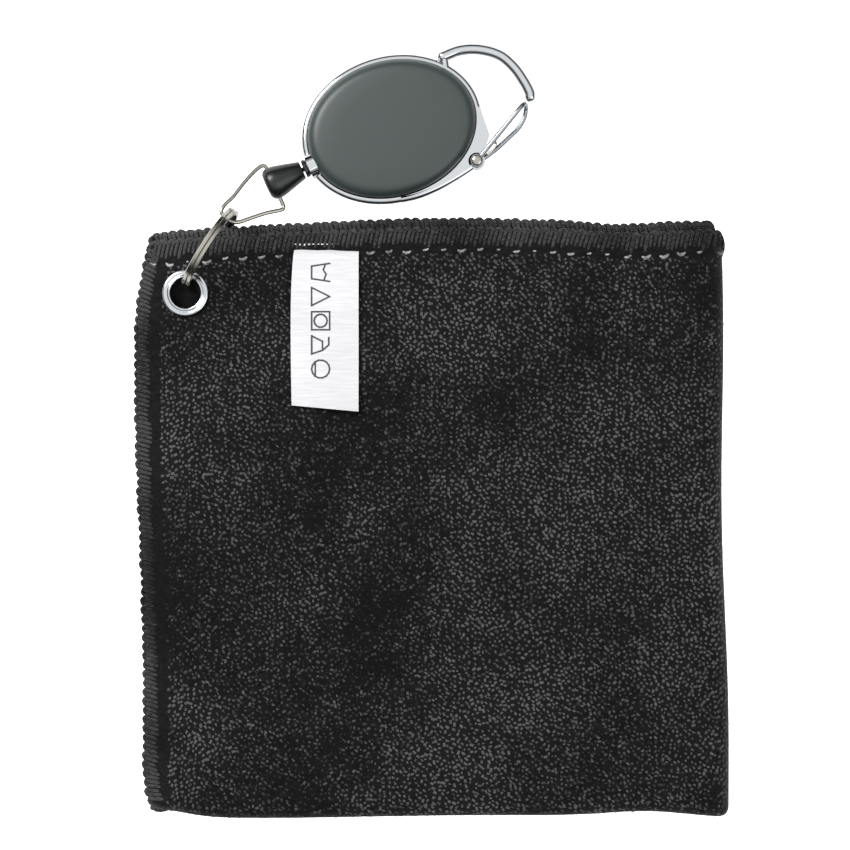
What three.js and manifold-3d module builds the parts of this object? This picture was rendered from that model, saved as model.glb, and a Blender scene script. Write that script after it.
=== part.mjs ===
// Folded golf towel hung on a retractable reel with a carabiner. Millimetres, +Z up, laid flat at Z = 0.
// The origin is under the middle of the whole part. The towel's hems face +Y and -X, its folds -Y and +X.
// Each nested group is one rigid body, and the joints between them are in the record.
import * as THREE from 'three';
import { mergeVertices } from 'three/addons/utils/BufferGeometryUtils.js';
import Module from 'manifold-3d';

const wasm = await Module();
wasm.setup();

// ---- Driving dimensions ----

const GAP = 0.3; // left between pieces that touch on the real object
const rad = THREE.MathUtils.degToRad;

// Towel: a 300 mm square of fleece, folded in quarters
const TOWEL = { left: -77.2, right: 77.2, bottom: -101.6, corner: 5 };
const LAYER = 3.0;
const TOWEL_T = 4 * LAYER;
const UNDER_TOP_LAYER = TOWEL_T - LAYER - GAP; // the three lower layers end here
const HEM = { width: 3.7, low: 45.7, topLayer: 50.5, lowerLayers: 52.4, lift: 0.2, tail: 4 };
const LABEL = { left: -37.9, right: -20.5, drop: 39.6, slant: 1.6, thick: 0.4 };

// Eyelet: pressed through the top layer only
const EYELET = { x: -65.8, y: 35.3, holeR: 4.0, barrelR: 4.5, rimR: 6.0, rimT: 0.8 };
const SQUEEZED = { low: 9.8, high: 11.4 }; // the top layer where the eyelet pinches it

// Split ring: two flat coils, standing on edge
const RING = { outerR: 12.15, innerR: 10.95, halfWidth: 1.1, turn: 57.33, along: 13.2, aside: 0.7, z: 12.95 };
const RING_SLOT = { r: 12.45, halfWidth: 1.6 };

// Reel: two oval covers round a sprung drum, with the carabiner's wire clamped between their rims
const REEL = { x: -12, y: 79, long: 22.6, short: 17.7, turn: 17.5, height: 10.5, edge: 3.4, edgeZ: 3.6 };
const REEL_HOLLOW = { long: 19.4, short: 14.5, low: 1.5, high: 9.0 };
const MID_Z = REEL.height / 2;
const CORD_TURN = 24.5; // direction in which the cord leaves the reel, below -X
const WIRE_R = 1.2;
const WIRE_OUT = 0.5; // the wire's centre line outside the covers' rim
const PLATE_T = 2 * WIRE_R;
const HOOK_R = 1.5;
const BOSS = { r: 3.4, from: 21.9, to: 24.2, holeR: 2.4 };
const NOZZLE = { r: 2.1, flangeR: 2.4, from: 19.0, flange: 24.5, to: 25.5, boreR: 0.9 };
const CORD = { r: 0.6, start: 18.6, knot: 30.2, knotR: 1.5 };
const DRUM = { r: 13.2, hubOuter: 8.4, hubInner: 7.4, boreR: 1.8, low: 2.0, high: 8.5, flangeT: 0.75 };
const WINDING = { inner: 8.7, outer: 11.0, low: 3.05, high: 7.45, turns: 4 };
const SPRING = { from: 2.4, to: 6.7, turns: 4, strip: 0.3, low: 3.1, high: 7.4 };
const POST_R = 1.4;
const CONE = { neckR: 2.4, mouthR: 4.3, lipR: 3.3, from: 25.9, shoulder: 33.4, rim: 35.2, to: 36.4 };
const KNOT_ROOM = { r: 1.9, from: 28.4, to: 32.0 };

// Bail: one wire, bent to a loop, with both ends in the cone's cross hole
const BAIL = { r: 0.55, pin: 34.4, rise: 0.308 };

// Gate: a wire loop whose two legs stand one each side of the frame's plate
const GATE = { x: 10.5, y: 70.5, r: 0.65, lugR: 2.2, pinR: 0.8, headR: 1.3, headT: 0.5 };
const GATE_EYE = { inner: GATE.pinR + GAP, outer: 1.75 };
const GATE_LEG = PLATE_T / 2 + GAP + GATE.r; // from the plate's middle to a leg's middle

// ---- Shape helpers ----

function withIndex(geometry) {
  geometry.deleteAttribute('normal');
  geometry.deleteAttribute('uv');
  return mergeVertices(geometry, 1e-4);
}

function signedVolume(geometry) {
  const p = geometry.attributes.position;
  const index = geometry.index.array;
  const [a, b, c] = [new THREE.Vector3(), new THREE.Vector3(), new THREE.Vector3()];
  let volume = 0;
  for (let i = 0; i < index.length; i += 3) {
    a.fromBufferAttribute(p, index[i]);
    b.fromBufferAttribute(p, index[i + 1]);
    c.fromBufferAttribute(p, index[i + 2]);
    volume += a.dot(b.cross(c)) / 6;
  }
  return volume;
}

// A closed geometry as a manifold solid with its faces out.
function solid(geometry) {
  const merged = withIndex(geometry);
  const triVerts = Uint32Array.from(merged.index.array);
  if (signedVolume(merged) < 0) triVerts.reverse();
  const vertProperties = Float32Array.from(merged.attributes.position.array);
  return new wasm.Manifold(new wasm.Mesh({ numProp: 3, vertProperties, triVerts }));
}

function geometryOf(manifold) {
  const mesh = manifold.getMesh();
  const geometry = new THREE.BufferGeometry();
  geometry.setAttribute('position', new THREE.BufferAttribute(Float32Array.from(mesh.vertProperties), 3));
  geometry.setIndex(new THREE.BufferAttribute(Uint32Array.from(mesh.triVerts), 1));
  geometry.computeVertexNormals();
  return geometry;
}

const union = (first, ...rest) => rest.reduce((sum, next) => sum.add(next), first);
const cut = (first, ...rest) => rest.reduce((left, next) => left.subtract(next), first);

function prism(points, low, high) {
  const shape = new THREE.Shape(points.map(([x, y]) => new THREE.Vector2(x, y)));
  return solid(new THREE.ExtrudeGeometry(shape, { depth: high - low, bevelEnabled: false }).translate(0, 0, low));
}

function box(x0, y0, z0, x1, y1, z1) {
  const block = new THREE.BoxGeometry(x1 - x0, y1 - y0, z1 - z0);
  return solid(block.translate((x0 + x1) / 2, (y0 + y1) / 2, (z0 + z1) / 2));
}

// A profile of [radius, height] points, turned about +Z.
function turned(profile, sides) {
  const points = profile.map(([r, z]) => new THREE.Vector2(r, z));
  return new THREE.LatheGeometry(points, sides).rotateX(Math.PI / 2);
}

function washer(inner, outer, low, high, sides) {
  return turned([[inner, low], [outer, low], [outer, high], [inner, high], [inner, low]], sides);
}

function disc(r, low, high, sides) {
  return turned([[0, low], [r, low], [r, high], [0, high]], sides);
}

// Stands a shape made about +Z at a place, with its +Z along a direction.
function aimed(geometry, direction, at) {
  const turn = new THREE.Quaternion().setFromUnitVectors(new THREE.Vector3(0, 0, 1), direction);
  return geometry.applyQuaternion(turn).translate(at.x, at.y, at.z);
}

function ball(r, at, sides) {
  return solid(new THREE.SphereGeometry(r, sides, sides / 2).translate(at.x, at.y, at.z));
}

// A round wire through the points, closed by a flat face at each end.
function wire(points, r, steps, sides) {
  const path = new THREE.CatmullRomCurve3(points, false, 'centripetal');
  const section = Array.from({ length: sides }, (_, i) => {
    const angle = (2 * Math.PI * i) / sides;
    return new THREE.Vector2(r * Math.cos(angle), r * Math.sin(angle));
  });
  return solid(new THREE.ExtrudeGeometry(new THREE.Shape(section), { steps, extrudePath: path }));
}

const flat = (points, z) => points.map(([x, y, own]) => new THREE.Vector3(x, y, own ?? z));

// ---- Directions and places ----

const cordAxis = new THREE.Vector3(-Math.cos(rad(CORD_TURN)), -Math.sin(rad(CORD_TURN)), 0);
const crossAxis = new THREE.Vector3(Math.sin(rad(CORD_TURN)), -Math.cos(rad(CORD_TURN)), 0);
const reelCentre = new THREE.Vector3(REEL.x, REEL.y, MID_Z);

// A place by its distance along the cord, across it, and up.
function onCord(along, across = 0, up = 0) {
  const place = reelCentre.clone().addScaledVector(cordAxis, along).addScaledVector(crossAxis, across);
  place.z += up;
  return place;
}

function aboutCord(geometry) {
  return solid(aimed(geometry, cordAxis, reelCentre));
}

// A point on the covers' oval, moved out by a distance, at a parameter angle in radians.
function onOval(angle, long, short) {
  const turn = rad(REEL.turn);
  const [u, v] = [long * Math.cos(angle), short * Math.sin(angle)];
  return [REEL.x + u * Math.cos(turn) - v * Math.sin(turn), REEL.y + u * Math.sin(turn) + v * Math.cos(turn)];
}

function oval(long, short, count) {
  return Array.from({ length: count }, (_, i) => onOval((2 * Math.PI * i) / count, long, short));
}

const nozzleOffset = rad(CORD_TURN - REEL.turn);
const nozzleAngle = Math.PI + Math.atan((REEL.long / REEL.short) * Math.tan(nozzleOffset));

// The rim's groove and the carabiner's wire both follow this line, open only where the nozzle passes.
function rimWire(r, opening, sides) {
  const count = 48;
  const points = Array.from({ length: count + 1 }, (_, i) => {
    const angle = nozzleAngle + opening + ((2 * Math.PI - 2 * opening) * i) / count;
    return onOval(angle, REEL.long + WIRE_OUT, REEL.short + WIRE_OUT);
  });
  return wire(flat(points, MID_Z), r, 56, sides);
}

const ringAlong = new THREE.Vector3(Math.cos(rad(RING.turn)), Math.sin(rad(RING.turn)), 0);
const ringAxis = new THREE.Vector3(Math.sin(rad(RING.turn)), -Math.cos(rad(RING.turn)), 0);
const ringCentre = new THREE.Vector3(EYELET.x, EYELET.y, RING.z)
  .addScaledVector(ringAlong, RING.along)
  .addScaledVector(ringAxis, -RING.aside);

// ---- Towel ----

const lowerSlot = (() => {
  const slab = new THREE.CylinderGeometry(RING_SLOT.r, RING_SLOT.r, 2 * RING_SLOT.halfWidth, 40);
  slab.rotateX(Math.PI / 2);
  const whole = solid(aimed(slab, ringAxis, ringCentre));
  return whole.intersect(box(-100, 0, -1, 0, 100, UNDER_TOP_LAYER));
})();

function atEyelet(geometry) {
  return solid(geometry.translate(EYELET.x, EYELET.y, 0));
}

function makeTowel() {
  const { left, right, bottom, corner } = TOWEL;
  const inner = left + HEM.width + GAP;
  const top = HEM.low - GAP;
  const block = prism(
    [[inner, bottom], [right - corner, bottom], [right, bottom + corner], [right, top], [inner, top]],
    0, TOWEL_T,
  );
  const hole = disc(EYELET.barrelR + GAP, UNDER_TOP_LAYER - GAP, TOWEL_T + 1, 32);
  const pinchedAbove = disc(EYELET.rimR + 2 * GAP, SQUEEZED.high, TOWEL_T + 1, 32);
  const pinchedBelow = disc(EYELET.rimR + 2 * GAP, UNDER_TOP_LAYER - GAP, SQUEEZED.low, 32);
  return cut(block, atEyelet(hole), atEyelet(pinchedAbove), atEyelet(pinchedBelow), lowerSlot);
}

function makeHem() {
  const { left, right, bottom } = TOWEL;
  const strip = (top, low, high) => prism(
    [
      [left, bottom + HEM.tail], [left + HEM.width, bottom + HEM.tail], [left + HEM.width, HEM.low],
      [right - HEM.tail, HEM.low], [right - HEM.tail, top], [left + HEM.tail, top], [left, top - HEM.tail],
    ],
    low, high,
  );
  const lower = strip(HEM.lowerLayers, HEM.lift, UNDER_TOP_LAYER + GAP);
  const upper = strip(HEM.topLayer, UNDER_TOP_LAYER, TOWEL_T);
  return cut(union(lower, upper), lowerSlot);
}

function makeEyelet() {
  const low = SQUEEZED.low - GAP - EYELET.rimT;
  const rim = SQUEEZED.high + GAP;
  const { holeR, barrelR, rimR, rimT } = EYELET;
  return atEyelet(turned([
    [holeR, low], [barrelR, low], [barrelR, rim], [rimR, rim], [rimR, rim + rimT / 2], [rimR - 0.5, rim + rimT],
    [holeR + 0.4, rim + rimT], [holeR, rim + rimT - 0.4], [holeR, low],
  ], 36));
}

function makeEyeletWasher() {
  const high = SQUEEZED.low - GAP;
  return atEyelet(washer(EYELET.barrelR + GAP, EYELET.rimR, high - EYELET.rimT, high, 36));
}

function makeSplitRing() {
  const { outerR, innerR, halfWidth } = RING;
  const notch = 0.25;
  const profile = [
    [innerR, -halfWidth + notch], [innerR + notch, -halfWidth], [outerR - notch, -halfWidth],
    [outerR, -halfWidth + notch], [outerR, -notch], [outerR - notch, 0], [outerR, notch],
    [outerR, halfWidth - notch], [outerR - notch, halfWidth], [innerR + notch, halfWidth],
    [innerR, halfWidth - notch], [innerR, -halfWidth + notch],
  ];
  return solid(aimed(turned(profile, 48), ringAxis, ringCentre));
}

function makeLabel() {
  const { left, right, drop, slant, thick } = LABEL;
  const top = HEM.low - GAP;
  const low = TOWEL_T + GAP;
  return prism([[left, top], [left, top - drop], [right, top - drop - slant], [right, top]], low, low + thick);
}

// ---- Cord, cone and bail ----

function makePullCord() {
  const line = aboutCord(disc(CORD.r, CORD.start, CORD.knot, 12));
  return union(line, ball(CORD.knotR, onCord(CORD.knot), 12));
}

function makeCone() {
  const { neckR, mouthR, lipR, from, shoulder, rim, to } = CONE;
  const shell = aboutCord(turned([[0, from], [neckR, from], [mouthR, shoulder], [mouthR, rim], [lipR, to], [0, to]], 32));
  const bore = aboutCord(disc(NOZZLE.boreR, from - 1, KNOT_ROOM.from + 1, 20));
  const room = aboutCord(disc(KNOT_ROOM.r, KNOT_ROOM.from, KNOT_ROOM.to, 20));
  const hole = wire([onCord(BAIL.pin, -6), onCord(BAIL.pin, 0), onCord(BAIL.pin, 6)], BAIL.r + GAP, 1, 12);
  return cut(shell, union(bore, room), hole);
}

function makeBail() {
  const loop = [
    [34.4, -0.4], [34.4, -2.5], [34.4, -4.6], [34.9, -5.3], [36.0, -5.3], [38.5, -4.4], [41.9, -2.7],
    [45.4, -0.7], [48.2, 0.4], [49.8, 1.7], [49.5, 3.4], [48.4, 5.2], [46.8, 6.0], [42.6, 6.3],
    [39.3, 6.6], [35.6, 7.3], [34.6, 7.1], [34.4, 6.2], [34.4, 4.0], [34.4, 2.0], [34.4, 0.4],
  ];
  return wire(loop.map(([t, c]) => onCord(t, c, (t - BAIL.pin) * BAIL.rise)), BAIL.r, 56, 8);
}

// ---- Reel and carabiner ----

function roundedOval() {
  const { long, short, edge, edgeZ, height } = REEL;
  const shape = new THREE.Shape(oval(long - edge, short - edge, 56).map(([x, y]) => new THREE.Vector2(x, y)));
  const bevel = { bevelThickness: edgeZ, bevelSize: edge, bevelSegments: 4 };
  return solid(new THREE.ExtrudeGeometry(shape, { depth: height - 2 * edgeZ, ...bevel }).translate(0, 0, edgeZ));
}

function makeCovers() {
  const shell = cut(
    roundedOval(),
    prism(oval(REEL_HOLLOW.long, REEL_HOLLOW.short, 40), REEL_HOLLOW.low, REEL_HOLLOW.high),
    rimWire(WIRE_R + GAP, 0.02, 8),
    aboutCord(disc(BOSS.holeR, 16, 23, 24)),
    aboutCord(disc(BOSS.r + GAP, BOSS.from - GAP, 26, 24)),
  );
  const seam = MID_Z - GAP / 2;
  return {
    front: shell.intersect(box(-50, 50, seam + GAP, 30, 110, REEL.height + 1)),
    back: shell.intersect(box(-50, 50, -1, 30, 110, seam)),
  };
}

function makeFrame() {
  const lug = disc(GATE.lugR, -PLATE_T / 2, PLATE_T / 2, 24).translate(GATE.x, GATE.y, MID_Z);
  const plate = cut(
    prism(
      [
        [10.2, 87], [11.8, 83.5], [13.3, 79.2], [13.9, 77.4], [12.2, 72], [10, 70.1], [4.9, 66.9],
        [-0.1, 63.9], [-3, 66], [4, 80],
      ],
      MID_Z - PLATE_T / 2, MID_Z + PLATE_T / 2,
    ),
    prism(oval(REEL.long + GAP, REEL.short + GAP, 56), 0, REEL.height),
  );
  const arc = [
    [1.5, 98.2], [6.1, 99.9], [11.3, 100.1], [16.6, 98.6], [20.3, 95.5], [22.9, 91.9], [24.5, 88.9], [24.7, 87.6],
  ];
  const hook = union(
    wire(flat(arc, MID_Z), HOOK_R, 22, 10),
    ball(HOOK_R, new THREE.Vector3(...arc[0], MID_Z), 10),
    ball(HOOK_R, new THREE.Vector3(...arc.at(-1), MID_Z), 10),
    wire(flat([[1.8, 98.2], [2.0, 96.8], [2.2, 95.4]], MID_Z), WIRE_R, 2, 8),
  );
  const straight = wire(flat([[-5.1, 61.2], [-0.1, 63.6], [4.9, 66.6], [9.6, 69.6]], MID_Z), WIRE_R, 8, 8);
  const boss = aboutCord(disc(BOSS.r, BOSS.from, BOSS.to, 28));
  return cut(
    union(rimWire(WIRE_R, 0.08, 8), boss, plate, straight, hook, solid(lug)),
    aboutCord(disc(BOSS.holeR, 16, 28, 24)),
    solid(disc(GATE_EYE.inner, 0, REEL.height, 16).translate(GATE.x, GATE.y, 0)),
  );
}

function makeNozzle() {
  const { r, flangeR, from, flange, to, boreR } = NOZZLE;
  return aboutCord(turned([[boreR, from], [r, from], [r, flange], [flangeR, flange], [flangeR, to], [boreR, to], [boreR, from]], 24));
}

function makeGate() {
  const [high, low] = [MID_Z + GATE_LEG, MID_Z - GATE_LEG];
  const leg = [
    [11.45, 71.6, high], [14.5, 75.3, high], [18.2, 79.8, high], [21.6, 84.0, high], [22.8, 85.3, high - 0.6],
    [23.4, 85.5, MID_Z], [23.6, 84.7, low + 0.5], [23.2, 82.3, low], [21.6, 79.5, low], [18.6, 76.6, low],
    [16.2, 74.4, low], [13.6, 72.4, low], [11.9, 71.2, low],
  ];
  const eye = (z) => solid(
    washer(GATE_EYE.inner, GATE_EYE.outer, z - GATE.r, z + GATE.r, 20).translate(GATE.x, GATE.y, 0),
  );
  return union(wire(flat(leg), GATE.r, 40, 8), eye(high), eye(low));
}

function makeGatePin() {
  const reach = GATE_LEG + GATE.r + GAP;
  const shank = solid(disc(GATE.pinR, -reach - GATE.headT, reach + GATE.headT, 16).translate(GATE.x, GATE.y, MID_Z));
  const head = (low) => solid(disc(GATE.headR, low, low + GATE.headT, 16).translate(GATE.x, GATE.y, MID_Z));
  return union(shank, head(reach), head(-reach - GATE.headT));
}

function makeGateSpring() {
  const bend = [[13.3, 72.4], [14.6, 73.6], [15.5, 74.9], [15.3, 75.8], [14.4, 75.4], [13.6, 74.0]];
  return wire(flat(bend, MID_Z), 0.35, 12, 6);
}

// ---- Inside the reel ----

function aboutReel(geometry) {
  return solid(geometry.translate(REEL.x, REEL.y, 0));
}

function makeDrum() {
  const { r, hubOuter, hubInner, boreR, low, high, flangeT } = DRUM;
  return aboutReel(turned([
    [boreR, low], [r, low], [r, low + flangeT], [hubOuter, low + flangeT], [hubOuter, high - flangeT],
    [r, high - flangeT], [r, high], [hubInner, high], [hubInner, low + flangeT], [boreR, low + flangeT], [boreR, low],
  ], 40));
}

function makeWinding() {
  const { inner, outer, low, high, turns } = WINDING;
  const pitch = (high - low) / turns;
  const profile = [[inner, low], [outer - 0.4, low]];
  for (let i = 0; i < turns; i++) {
    profile.push([outer, low + (i + 0.5) * pitch], [outer - 0.4, low + (i + 1) * pitch]);
  }
  profile.push([inner, high], [inner, low]);
  return aboutReel(turned(profile, 32));
}

function makeSpring() {
  const { from, to, turns, strip, low, high } = SPRING;
  const steps = turns * 18;
  const edge = (offset) => Array.from({ length: steps + 1 }, (_, i) => {
    const angle = (2 * Math.PI * turns * i) / steps;
    const r = from + ((to - from) * i) / steps + offset;
    return [r * Math.cos(angle), r * Math.sin(angle)];
  });
  const outline = [...edge(strip / 2), ...edge(-strip / 2).reverse()];
  return prism(outline, low, high).translate([REEL.x, REEL.y, 0]);
}

function makePost() {
  return aboutReel(disc(POST_R, REEL_HOLLOW.low + GAP, REEL_HOLLOW.high - GAP, 20));
}

// The cord's straight stretch from the winding, which it leaves at a tangent, to the nozzle.
function makeCordRun() {
  const end = CORD.start - GAP;
  const reach = WINDING.outer + CORD.r + GAP;
  const angle = Math.acos(reach / end);
  const leaves = onCord(reach * Math.cos(angle), reach * Math.sin(angle));
  const enters = onCord(end);
  return wire([leaves, leaves.clone().lerp(enters, 0.5), enters], CORD.r, 1, 12);
}

// ---- Assembly ----

const FINISH = {
  cloth: { color: 0x262626, roughness: 0.95 },
  thread: { color: 0x1d1d1d, roughness: 0.8 },
  satin: { color: 0xeeeeee, roughness: 0.6 },
  chrome: { color: 0xc9ccd0, roughness: 0.18, metalness: 1 },
  steel: { color: 0x8d8b84, roughness: 0.35, metalness: 1 },
  plastic: { color: 0x4a5252, roughness: 0.45 },
  black: { color: 0x141414, roughness: 0.4 },
};

function piece(name, manifold, finish) {
  const mesh = new THREE.Mesh(geometryOf(manifold), new THREE.MeshStandardMaterial(FINISH[finish]));
  mesh.name = name;
  return mesh;
}

function body(name, ...pieces) {
  const group = new THREE.Group();
  group.name = name;
  group.add(...pieces);
  return group;
}

const covers = makeCovers();
const group = body(
  'golf_towel',
  body(
    'reel',
    piece('carabiner_frame', makeFrame(), 'chrome'),
    piece('gate_pin', makeGatePin(), 'steel'),
    piece('gate_spring', makeGateSpring(), 'steel'),
    piece('reel_front_cover', covers.front, 'plastic'),
    piece('reel_back_cover', covers.back, 'plastic'),
    piece('cord_nozzle', makeNozzle(), 'black'),
    piece('centre_post', makePost(), 'steel'),
    piece('power_spring', makeSpring(), 'steel'),
    piece('cord_run', makeCordRun(), 'thread'),
  ),
  body('gate', piece('gate_wire', makeGate(), 'chrome')),
  body('drum', piece('cord_drum', makeDrum(), 'black'), piece('cord_winding', makeWinding(), 'thread')),
  body('cord', piece('pull_cord', makePullCord(), 'thread')),
  body('cone', piece('swivel_cone', makeCone(), 'black')),
  body('bail', piece('wire_bail', makeBail(), 'steel')),
  body('ring', piece('split_ring', makeSplitRing(), 'steel')),
  body(
    'towel',
    piece('towel_cloth', makeTowel(), 'cloth'),
    piece('overlock_hem', makeHem(), 'thread'),
    piece('eyelet', makeEyelet(), 'chrome'),
    piece('eyelet_washer', makeEyeletWasher(), 'chrome'),
  ),
  body('label', piece('care_label', makeLabel(), 'satin')),
);

export default group;
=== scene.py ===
# %% [markdown]
# # A golf towel on a retractable reel
# The towel is a square of black microfibre fleece, overlocked on its four edges and folded in quarters.
# An eyelet in its corner holds a split ring, and a wire bail joins that to the swivel of a spring reel,
# which a carabiner clips to a bag. Everything lies flat, as it is packed for sale.
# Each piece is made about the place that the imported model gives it, in metres, with +Z up.

# %% Set up
import math

import bmesh
import bpy
import numpy as np
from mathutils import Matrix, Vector


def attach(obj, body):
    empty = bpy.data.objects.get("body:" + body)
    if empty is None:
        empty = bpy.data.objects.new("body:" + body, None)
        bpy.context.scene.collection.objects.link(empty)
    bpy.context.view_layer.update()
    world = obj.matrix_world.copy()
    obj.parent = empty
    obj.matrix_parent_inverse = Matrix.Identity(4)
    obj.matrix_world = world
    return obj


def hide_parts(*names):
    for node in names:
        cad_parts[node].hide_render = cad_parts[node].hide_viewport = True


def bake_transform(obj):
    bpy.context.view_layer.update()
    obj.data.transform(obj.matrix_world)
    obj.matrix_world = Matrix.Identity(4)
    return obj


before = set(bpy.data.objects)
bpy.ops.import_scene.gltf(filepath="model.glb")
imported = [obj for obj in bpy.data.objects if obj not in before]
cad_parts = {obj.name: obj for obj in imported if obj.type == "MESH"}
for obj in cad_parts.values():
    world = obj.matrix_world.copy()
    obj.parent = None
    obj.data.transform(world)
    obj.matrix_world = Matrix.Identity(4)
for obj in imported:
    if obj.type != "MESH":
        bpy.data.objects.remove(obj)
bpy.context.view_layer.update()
MM = 0.001
scene = bpy.context.scene

# %% [markdown]
# ## Helpers
# Colours are written as the sRGB values that a colour chart gives, and turned to linear in one place.
# Shapes are made from lists of points in millimetres: a sweep for wire and cord, a lathe for anything
# round, and an oval lathe for the reel's covers. All three give closed meshes with their faces out.

# %% Colour, material and mesh helpers


def linear(code):
    parts = [int(code[i:i + 2], 16) / 255 for i in (1, 3, 5)]
    return [c / 12.92 if c <= 0.04045 else ((c + 0.055) / 1.055) ** 2.4 for c in parts] + [1.0]


def new_material(name, **values):
    """A material with a Principled shader, its constant values set on the shader's own sockets."""
    mat = bpy.data.materials.new(name)
    mat.use_nodes = True
    shader = mat.node_tree.nodes["Principled BSDF"]
    for key, value in values.items():
        value = linear(value) if isinstance(value, str) else value
        shader.inputs[key.replace("_", " ")].default_value = value
    return mat, mat.node_tree, shader


def add_node(tree, kind, links=(), **settings):
    """A node with its settings. The node's own properties are set on it, and any other name is a socket."""
    node = tree.nodes.new(kind)
    for key, value in settings.items():
        if hasattr(node, key):
            setattr(node, key, value)
        else:
            node.inputs[key.replace("_", " ")].default_value = value
    for source, socket in links:
        tree.links.new(source, node.inputs[socket])
    return node


def make_object(name, verts, faces, material, smooth=True, sharp=40):
    """A mesh object at the origin from points in millimetres."""
    mesh = bpy.data.meshes.new(name)
    mesh.from_pydata((np.asarray(verts) * MM).tolist(), [], faces)
    mesh.validate()
    mesh.materials.append(material)
    obj = bpy.data.objects.new(name, mesh)
    scene.collection.objects.link(obj)
    outward(mesh)
    if smooth:
        mesh.shade_smooth()
        mesh.set_sharp_from_angle(angle=math.radians(sharp))
    return obj


def outward(mesh):
    """Turns every face of closed shells outwards."""
    work = bmesh.new()
    work.from_mesh(mesh)
    bmesh.ops.recalc_face_normals(work, faces=work.faces)
    work.to_mesh(mesh)
    work.free()


def joined(*parts):
    """Several (points, faces) shells as one."""
    verts, faces, base = [], [], 0
    for points, polygons in parts:
        verts.extend(map(tuple, points))
        faces.extend([tuple(base + i for i in polygon) for polygon in polygons])
        base += len(points)
    return verts, faces


def smooth_path(points, count, closed=False):
    """A Catmull-Rom line through the points, with even spacing."""
    pts = np.array(points, float)
    n = len(pts)
    ends = (pts[-1], pts[0], pts[1]) if closed else (2 * pts[0] - pts[1], None, 2 * pts[-1] - pts[-2])
    ring = [ends[0], *pts, ends[1], ends[2]] if closed else [ends[0], *pts, ends[2]]
    ring = np.array([p for p in ring if p is not None])
    fine = []
    for i in range(n if closed else n - 1):
        a, b, c, d = ring[i:i + 4]
        for t in np.linspace(0, 1, 12, endpoint=False):
            fine.append(0.5 * ((2 * b) + (c - a) * t + (2 * a - 5 * b + 4 * c - d) * t**2
                               + (3 * b - a - 3 * c + d) * t**3))
    fine.append(pts[0] if closed else pts[-1])
    fine = np.array(fine)
    reach = np.concatenate([[0], np.cumsum(np.linalg.norm(np.diff(fine, axis=0), axis=1))])
    at = np.linspace(0, reach[-1], count + (1 if closed else 0))
    even = np.stack([np.interp(at, reach, fine[:, k]) for k in range(3)], 1)
    return even[:-1] if closed else even


def sweep(path, radius, sides=12, closed=False):
    """A round wire along a line. radius is one number, or one for each point."""
    path = np.array(path, float)
    n = len(path)
    radii = np.broadcast_to(radius, n)
    ahead = np.roll(path, -1, 0) - np.roll(path, 1, 0)
    if not closed:
        ahead[0], ahead[-1] = path[1] - path[0], path[-1] - path[-2]
    ahead /= np.linalg.norm(ahead, axis=1)[:, None]
    side = np.cross(ahead[0], (0, 0, 1) if abs(ahead[0][2]) < 0.9 else (1, 0, 0))
    verts = []
    for k in range(n):
        side = side - ahead[k] * side.dot(ahead[k])
        side /= np.linalg.norm(side)
        up = np.cross(ahead[k], side)
        for j in range(sides):
            angle = 2 * math.pi * j / sides
            verts.append(path[k] + radii[k] * (math.cos(angle) * side + math.sin(angle) * up))
    last = n if closed else n - 1
    faces = [
        (k * sides + j, k * sides + (j + 1) % sides,
         (k + 1) % n * sides + (j + 1) % sides, (k + 1) % n * sides + j)
        for k in range(last) for j in range(sides)
    ]
    if not closed:
        faces += [tuple(range(sides))[::-1], tuple(range((n - 1) * sides, n * sides))]
    return verts, faces


def rounded_ends(path, radius, steps=4):
    """Radii and points that close a wire with a rounded end instead of a flat one."""
    path = np.array(path, float)
    first = (path[0] - path[1]) / np.linalg.norm(path[0] - path[1])
    final = (path[-1] - path[-2]) / np.linalg.norm(path[-1] - path[-2])
    turn = np.linspace(0, math.pi / 2 * 0.94, steps + 1)[1:]
    start = [path[0] + first * radius * math.sin(a) for a in turn[::-1]]
    end = [path[-1] + final * radius * math.sin(a) for a in turn]
    taper = [radius * math.cos(a) for a in turn]
    radii = taper[::-1] + [radius] * len(path) + taper
    return np.array([*start, *path, *end]), np.array(radii)


def lathe(profile, centre, axis, sides=48):
    """A closed profile of (radius, height) points turned about an axis through centre."""
    axis = np.array(axis, float) / np.linalg.norm(axis)
    side = np.cross(axis, (0, 0, 1) if abs(axis[2]) < 0.9 else (1, 0, 0))
    side /= np.linalg.norm(side)
    up = np.cross(axis, side)
    verts = []
    for r, h in profile:
        for j in range(sides):
            angle = 2 * math.pi * j / sides
            verts.append(np.array(centre) + axis * h + r * (math.cos(angle) * side + math.sin(angle) * up))
    n = len(profile)
    faces = [
        (k * sides + j, k * sides + (j + 1) % sides,
         (k + 1) % n * sides + (j + 1) % sides, (k + 1) % n * sides + j)
        for k in range(n) for j in range(sides)
    ]
    return verts, faces


def capped(profile, centre, axis, sides=48):
    """An open profile turned about an axis, with a flat face over each end."""
    verts, faces = lathe(profile, centre, axis, sides)
    n = len(profile)
    side_faces = faces[: (n - 1) * sides]
    return verts, [*side_faces, tuple(range(sides))[::-1], tuple(range((n - 1) * sides, n * sides))]


def plate(outline, low, high):
    """A flat plate with that outline."""
    n = len(outline)
    verts = [(x, y, low) for x, y in outline] + [(x, y, high) for x, y in outline]
    sides = [(i, (i + 1) % n, n + (i + 1) % n, n + i) for i in range(n)]
    return verts, [tuple(range(n))[::-1], tuple(range(n, 2 * n)), *sides]

# %% [markdown]
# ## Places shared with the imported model
# The same driving dimensions as the solids, in millimetres.

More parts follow.
